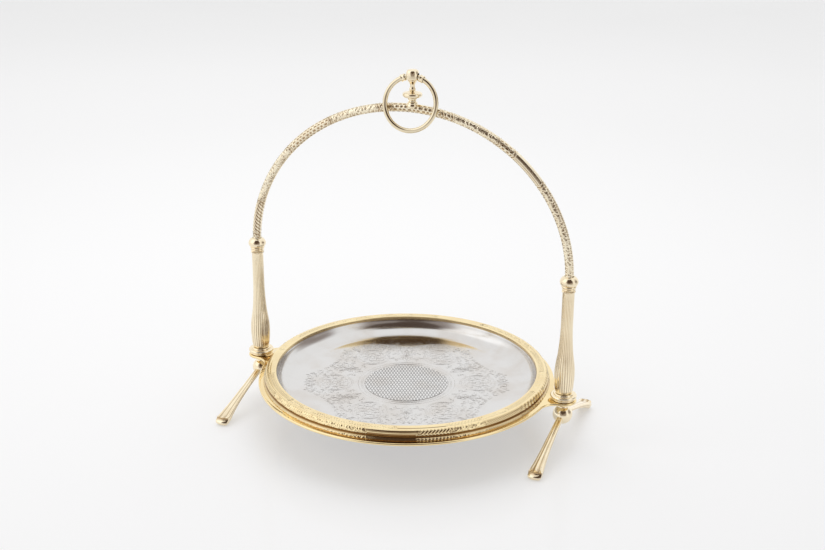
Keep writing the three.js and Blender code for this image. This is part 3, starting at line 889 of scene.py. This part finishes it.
# Legs: fluted bars that flare into a hoof
leg = {
    "sides": 72,
    "flare": 66,
    "lip": 77.7,
    "turn": -4,
    "squareness": 0.62,
    "fluteAt": 0.4,
    "fluteDepth": 0.2,
    "edgeFlute": 0.35,
    "toeRound": 1.8,
    "stations": (7.6, 9.4, 11, 14, 20, 28, 36, 44, 52, 60, 66, 69, 71.5, 73.5, 75.2, 76.6, 77.7),
    "endRings": (0.97, 0.9, 0.78, 0.62, 0.45, 0.28, 0.12),
    "endFace": [
        (0.0, 77.4), (0.6, 78.9), (1.6, 79.7), (2.8, 79.95), (3.9, 79.6), (4.7, 78.6), (5.4, 77.4),
        (6.2, 77.0), (7.0, 77.3), (7.7, 77.9), (8.2, 78.1),
    ],
    "top": [(7.6, 28.6), (9.3, 28.3), (73, 8.2), (75, 7.9), (77.7, 8.1)],
    "halfWidth": [
        (7.6, 2.9), (12, 3.0), (30, 3.5), (48, 4.1), (58, 4.8), (66, 5.6), (72.5, 6.1), (77.7, 6.8),
    ],
    "toeHalfWidth": [(0, 4.9), (0.8, 5.5), (2.6, 6.0), (4.2, 6.1), (5.6, 6.1), (7.2, 6.6), (8.2, 6.8)],
    "underside": {"from": 75, "run": 65.7, "rise": 33.4, "bend": 9.7},
}


def fromTable(points, value):
    # straight between neighbouring points of a table
    for (a, first), (b, second) in zip(points, points[1:]):
        if value <= b:
            return first + (second - first) * clamp((value - a) / (b - a))
    return points[-1][1]


def legBottom(distance):
    under = leg["underside"]
    t = clamp((under["from"] - distance) / under["run"], 0, 1.05)
    return under["rise"] * t - under["bend"] * t * t


def makeLeg(side, end, x):
    stations = leg["stations"]
    rows = [("body", d) for d in stations] + [("end", f) for f in leg["endRings"]]

    def place(u, v):
        kind, value = rows[round(u * (len(rows) - 1))]
        distance, shrink = (value, 1.0) if kind == "body" else (leg["lip"], value)
        toe = smoothStep(leg["flare"], leg["lip"], distance)
        angle = fullTurn * v
        squareness = leg["squareness"] - 0.2 * toe
        wide = math.copysign(abs(math.cos(angle)) ** squareness, math.cos(angle))
        high = math.copysign(abs(math.sin(angle)) ** squareness, math.sin(angle))
        low, top = legBottom(distance), fromTable(leg["top"], distance)
        height = (low + top) / 2 + (top - low) / 2 * high * shrink
        half = fromTable(leg["halfWidth"], distance) * (1 - toe)
        half += fromTable(leg["toeHalfWidth"], height) * toe
        flute = smoothStep(0.17, 0.02, abs(abs(wide) - leg["fluteAt"])) * smoothStep(0.2, 0.7, high)
        edgeFlute = smoothStep(0.3, 0.05, abs(high)) * (1 - toe)
        half -= leg["edgeFlute"] * edgeFlute
        if kind == "body":
            height -= (leg["fluteDepth"] + 0.4 * toe) * flute
        reach = distance - leg["toeRound"] * toe * (wide * shrink) ** 2
        if toe > 0.6:
            bulge = fromTable(leg["endFace"], height) - leg["lip"]
            reach += bulge * smoothStep(0.6, 1.0, toe)
        if kind == "body":
            darkness = max(flute * (0.6 + 0.3 * toe), 0.7 * edgeFlute)
        else:
            darkness = 0.8 * smoothStep(7.6, 6.6, height) * smoothStep(4.6, 5.6, height)
        return Vector((half * wide * shrink, reach, height)), darkness

    bm = wrapped(len(rows) - 1, leg["sides"], place, capped=True)
    turnBy = math.radians(leg["turn"] + (180 if end == "Front" else 0))
    bmesh.ops.rotate(bm, verts=bm.verts, cent=(0, 0, 0), matrix=Matrix.Rotation(turnBy, 3, "Z"))
    bmesh.ops.translate(bm, verts=bm.verts, vec=(x * mm, 0, 0))
    finishPiece(f"{side}{end}Leg", bm, "paleGold", "stand", [f"{side}_{end.lower()}_leg"], corner=40)


for side, x in (("left", -stand["postX"]), ("right", stand["postX"])):
    makePost(side, x)
    makeTurnings(side, x)
    makeLeg(side, "Rear", x)
    makeLeg(side, "Front", x)
print("posts and feet made")

# Arch: a chased tube bent to a half ellipse
arch = {
    "steps": 1100,
    "sides": 40,
    "end": 155.1,
    "relief": 0.36,
    "strip": 0.6,
    "width": 11.0,
    "sunk": 0.05,
    "grooveDarkening": 1.4,
    "endRows": 2,
    "enlarge": 1.5,
    "zones": [  # mm along the tube from its left end, and what starts there
        (0, "floral"), (8.6, "rope"), (41.6, "floral"), (103.8, "dashes"), (154.2, "floral"),
        (203.0, "chevron"), (209.5, "dashes"), (214.5, "dashes"), (254.0, "chevron"), (262.0, "dashes"),
        (271.0, "floral"), (316.2, "dashes"), (333.5, "grooves"), (368.2, "floral"), (460, "end"),
    ],
}


def archPlace(angle):
    # a point of the tube's middle line and the way out from it
    width, rise = stand["postX"], stand["archRise"]
    middle = Vector((-width * math.cos(angle), 0, stand["archSpring"] + rise * math.sin(angle)))
    outward = Vector((-rise * math.cos(angle), 0, width * math.sin(angle))).normalized()
    return middle, outward


def makeArch():
    enlarge = arch["enlarge"]
    starts = [s / enlarge for s, kind in arch["zones"]]
    kinds = [kind for s, kind in arch["zones"][:-1]]
    steps, endRows = arch["steps"], arch["endRows"]
    travelled = [0.0]
    for i in range(steps):
        a, b = archPlace(math.pi * i / steps)[0], archPlace(math.pi * (i + 1) / steps)[0]
        travelled.append(travelled[-1] + (b - a).length)

    def place(u, v):
        index = round(u * (steps + 2 * endRows)) - endRows
        middle, outward = archPlace(math.pi * clamp(index, 0, steps) / steps)
        if index < 0 or index > steps:
            # a straight end runs down into the knob
            outside = -index if index < 0 else index - steps
            middle.z -= (stand["archSpring"] - arch["end"]) * outside / endRows
        turn = fullTurn * v
        around = abs((turn + math.pi) % fullTurn - math.pi) * stand["tube"]
        height = 0.0
        if arch["strip"] < around < arch["strip"] + arch["width"] and 0 <= index <= steps:
            across = around - arch["strip"]
            fade = smoothStep(0, 0.5, across) * smoothStep(arch["width"], arch["width"] - 0.5, across)
            height = zonedHeight(starts, kinds, travelled[index] / enlarge, across / enlarge,
                                 arch["width"] / enlarge) * fade
        radius = stand["tube"] - arch["sunk"] + arch["relief"] * height
        point = middle + outward * (radius * math.cos(turn)) + Vector((0, radius * math.sin(turn), 0))
        return point, clamp(-arch["grooveDarkening"] * height)

    bm = wrapped(steps + 2 * endRows, arch["sides"], place, capped=True)
    finishPiece("archRod", bm, "archGold", "stand", ["arch_rod"], corner=60)


makeArch()
print("arch made")

# Finial: saddle, turned spindle, and the loose ring through its head
finial = {
    "x": 4.4,
    "pivot": 325.44,
    "hole": 3.3,
    "drill": 30,
    "saddle": [
        (1.8, 298.6), (4.7, 298.6), (5.2, 299.1), (5.3, 300.0), (5.0, 301.0), (4.5, 301.8), (4.5, 301.8),
        (4.6, 302.3), (4.3, 302.9), (3.9, 303.4), (1.8, 303.4),
    ],
    "spindle": [
        (3.4, 303.7), (3.4, 304.3), (3.1, 305.0), (3.1, 305.0), (3.9, 305.5), (4.1, 306.5), (3.8, 307.4),
        (3.7, 307.6), (3.7, 307.6), (6.0, 307.5), (7.6, 307.8), (8.5, 308.6), (8.7, 309.6), (8.5, 310.7),
        (7.7, 311.5), (6.6, 311.8), (6.6, 311.8), (5.6, 312.0), (4.4, 312.3), (3.2, 312.9), (2.5, 313.4),
        (2.5, 313.4), (2.8, 314.1), (2.8, 315.1), (2.3, 315.9), (2.3, 315.9), (2.1, 316.6), (2.25, 318.2),
        (3.0, 320.0), (4.1, 321.4), (4.7, 322.6), (4.7, 322.6), (5.4, 322.9), (5.85, 323.6), (5.95, 325.2),
        (5.8, 327.4), (5.35, 329.4), (4.7, 330.7), (3.6, 331.45), (1.8, 331.75), (0, 331.8),
    ],
}
carryRing = {
    "radius": 23.3,
    "wire": 2.2,
    "gap": 2.0,
    "lean": 13.388,
    "steps": 220,
    "sides": 28,
}
ringLean = Matrix.Rotation(math.radians(-carryRing["lean"]), 3, "X")


def ringPlace(angle, out=0.0):
    # on the ring that hangs from the head and leans forwards; out is measured from its middle
    radius = carryRing["radius"] + out
    flat = Vector((radius * math.sin(angle), 0, radius * math.cos(angle) - carryRing["radius"]))
    return ringLean @ flat + Vector((finial["x"], 0, finial["pivot"]))


def makeFinial():
    bm = turned(throughPoints(finial["saddle"], 3), steps=64, at=(finial["x"], 0), joined=True)
    finishPiece("finialSaddle", bm, "paleGold", "stand", ["finial_saddle"])
    foot = finial["spindle"][0][1]
    bm = turned([(0, foot)] + throughPoints(finial["spindle"], 3), steps=72, at=(finial["x"], 0))
    spindle = finishPiece("finialSpindle", bm, "paleGold", "stand", ["finial_spindle"])
    cutter = bmesh.new()
    bmesh.ops.create_cone(cutter, cap_ends=True, segments=48, radius1=finial["hole"] * mm,
                          radius2=finial["hole"] * mm, depth=finial["drill"] * mm)
    sideways = Matrix.Rotation(math.pi / 2, 3, "Y")
    bmesh.ops.rotate(cutter, verts=cutter.verts, cent=(0, 0, 0), matrix=sideways)
    bmesh.ops.translate(cutter, verts=cutter.verts, vec=(finial["x"] * mm, 0, finial["pivot"] * mm))
    drillMesh = bpy.data.meshes.new("drill")
    cutter.to_mesh(drillMesh)
    cutter.free()
    drill = bpy.data.objects.new("drill", drillMesh)
    scene.collection.objects.link(drill)
    bore = spindle.modifiers.new("bore", "BOOLEAN")
    bore.object = drill
    bore.solver = "EXACT"
    bpy.context.view_layer.update()
    bored = bpy.data.meshes.new_from_object(spindle.evaluated_get(bpy.context.evaluated_depsgraph_get()))
    spindle.modifiers.remove(bore)
    spindle.data = bored
    bored.materials.clear()
    bored.materials.append(metals["paleGold"])
    bored.set_sharp_from_angle(angle=math.radians(40))
    bpy.data.objects.remove(drill)


def makeRing():
    halfGap = carryRing["gap"] / 2 / carryRing["radius"]

    def place(u, v):
        angle = halfGap + (fullTurn - 2 * halfGap) * u
        turn = fullTurn * v
        wire = carryRing["wire"]
        middle = ringPlace(angle, wire * math.cos(turn))
        return middle + ringLean @ Vector((0, wire * math.sin(turn), 0)), 0.0

    bm = wrapped(carryRing["steps"], carryRing["sides"], place, capped=True)
    finishPiece("carryRing", bm, "ringGold", "ring", ["carry_ring"], corner=50)


sleeve = {
    "away": 8.6,
    "profile": [
        (2.6, -2.0), (3.0, -2.0), (3.3, -1.7), (3.35, -1.2), (3.1, -0.8), (3.05, 0.0), (3.1, 0.8),
        (3.35, 1.2), (3.3, 1.7), (3.0, 2.0), (2.6, 2.0),
    ],
}


def makeSleeve(side, hand):
    bm = turned(throughPoints(sleeve["profile"], 3), steps=40, joined=True)
    angle = hand * sleeve["away"] / carryRing["radius"]
    turnBy = ringLean @ Matrix.Rotation(math.pi / 2 + angle, 3, "Y")
    bmesh.ops.rotate(bm, verts=bm.verts, cent=(0, 0, 0), matrix=turnBy)
    bmesh.ops.translate(bm, verts=bm.verts, vec=ringPlace(angle) * mm)
    finishPiece(f"{side}RingSleeve", bm, "paleGold", "ring", [f"{side}_ring_sleeve"])


makeFinial()
makeRing()
makeSleeve("left", -1)
makeSleeve("right", 1)
print("finial and ring made")

# Floor, world and lamps
studio = {
    "floorTone": (0.65, 0.65, 0.655),
    # painted light: the floor glows for camera and mirror rays, brighter near the middle, which lightens the
    # object's shadow on it
    "floorGlow": (0.34, 0.34, 0.343),
    "farGlow": (0.25, 0.25, 0.252),
    "glowReach": (0.25, 1.3),
    "floorRadius": 7,
    "floorGloss": (0.13, 0.19),
    "floorShine": 0.07,
    "skyTone": (1, 0.995, 0.985),
    "skyLevel": 0.56,
    "backdrop": (0.915, 0.915, 0.92),
    "roomTone": (0.09, 0.06, 0.045),
    "roomWay": (0.2306, -0.6553, 0.7193),
    "roomEdge": (0.98, 1.02),
    "hazeTone": (0.33, 0.285, 0.26),
    "hazeWay": (0.3009, -0.8549, 0.4226),
    "hazeEdge": (0.8, 0.95),
    "sideTone": (0.33, 0.285, 0.26),
    "sideWay": (0.88, 0.38, 0.28),
    "sideEdge": (0.98, 1.12),
    "glareTone": (1.3, 1.3, 1.3),
    "glareWay": (-0.688, -0.413, 0.596),
    "glareEdge": (0.96, 1.08),
    "ragged": 0.24,
    "lampAim": (0, 0, 0.1),
    "mainPlace": (-0.35, 0.75, 1.7),
    "mainSize": 2.2,
    "mainPower": 17.0,
    "sidePlace": (-1.5, -0.9, 1.3),
    "sideSize": 1.0,
    "sidePower": 4.0,
}


def isSeen(tree):
    # camera rays and mirror rays see the backdrop; it sheds no extra light
    path = addNode(tree, "ShaderNodeLightPath").outputs
    seen = mathNode(tree, "ADD", path["Is Camera Ray"], path["Is Glossy Ray"])
    return mathNode(tree, "MINIMUM", mathNode(tree, "ADD", seen, path["Is Transmission Ray"]), 1.0)


def makeFloor():
    bm = bmesh.new()
    bmesh.ops.create_circle(bm, cap_ends=True, segments=128, radius=studio["floorRadius"])
    mesh = bpy.data.meshes.new("floor")
    bm.to_mesh(mesh)
    bm.free()
    material = bpy.data.materials.new("floorPaint")
    material.use_nodes = True
    tree = material.node_tree
    shader = tree.nodes["Principled BSDF"]
    place = addNode(tree, "ShaderNodeTexCoord").outputs["Object"]
    rough = spread(tree, noiseNode(tree, place, 3.0), 0.2, 0.8, *studio["floorGloss"])
    tree.links.new(rough, shader.inputs["Roughness"])
    shader.inputs["Base Color"].default_value = (*studio["floorTone"], 1)
    # painted light: a glow brighter near the middle, seen by camera and mirror rays, lightens the shadow on
    # the floor
    distance = addNode(tree, "ShaderNodeVectorMath", {0: place}, operation="LENGTH").outputs["Value"]
    fading = blendColor(tree, spread(tree, distance, *studio["glowReach"]), (*studio["floorGlow"], 1),
                        (*studio["farGlow"], 1))
    glow = blendColor(tree, isSeen(tree), (0, 0, 0, 1), fading)
    tree.links.new(glow, shader.inputs["Emission Color"])
    shader.inputs["Emission Strength"].default_value = 1.0
    shader.inputs["Specular IOR Level"].default_value = studio["floorShine"]
    mesh.materials.append(material)
    floor = bpy.data.objects.new("floor", mesh)
    scene.collection.objects.link(floor)


def makeWorld():
    world = bpy.data.worlds.new("studio")
    scene.world = world
    world.use_nodes = True
    tree = world.node_tree
    tree.nodes.clear()
    way = addNode(tree, "ShaderNodeTexCoord").outputs["Generated"]
    ragged = mathNode(tree, "MULTIPLY", noiseNode(tree, way, 2.6), studio["ragged"])

    def patch(kind):
        # a ragged round patch of the room, as mirror rays see it
        ways = {0: way, 1: studio[f"{kind}Way"]}
        facing = addNode(tree, "ShaderNodeVectorMath", ways, operation="DOT_PRODUCT").outputs["Value"]
        return spread(tree, mathNode(tree, "ADD", facing, ragged), *studio[f"{kind}Edge"])

    path = addNode(tree, "ShaderNodeLightPath").outputs
    unseen = mathNode(tree, "SUBTRACT", 1.0, path["Is Camera Ray"])
    color = blendColor(tree, unseen, (*studio["backdrop"], 1), (1, 1, 1, 1))
    for kind in ("glare", "side", "haze", "room"):
        shade = mathNode(tree, "MULTIPLY", patch(kind), unseen)
        color = blendColor(tree, shade, color, (*studio[f"{kind}Tone"], 1))
    sky = {"Color": (*studio["skyTone"], 1), "Strength": studio["skyLevel"]}
    light = addNode(tree, "ShaderNodeBackground", sky).outputs[0]
    seen = addNode(tree, "ShaderNodeBackground", {"Color": color, "Strength": 1.0}).outputs[0]
    mix = addNode(tree, "ShaderNodeMixShader", {0: isSeen(tree), 1: light, 2: seen})
    addNode(tree, "ShaderNodeOutputWorld", {"Surface": mix.outputs[0]})


def makeLamp(kind):
    place = studio[f"{kind}Place"]
    data = bpy.data.lights.new(f"{kind}Lamp", "AREA")
    data.shape = "SQUARE"
    data.size = studio[f"{kind}Size"]
    data.energy = studio[f"{kind}Power"]
    lamp = bpy.data.objects.new(f"{kind}Lamp", data)
    lamp.visible_glossy = False  # the metal mirrors the room, not the lamps
    aim = Vector(studio["lampAim"]) - Vector(place)
    lamp.matrix_world = Matrix.Translation(place) @ aim.to_track_quat("-Z", "Y").to_matrix().to_4x4()
    scene.collection.objects.link(lamp)


makeFloor()
makeWorld()
makeLamp("main")
makeLamp("side")
print("studio made")
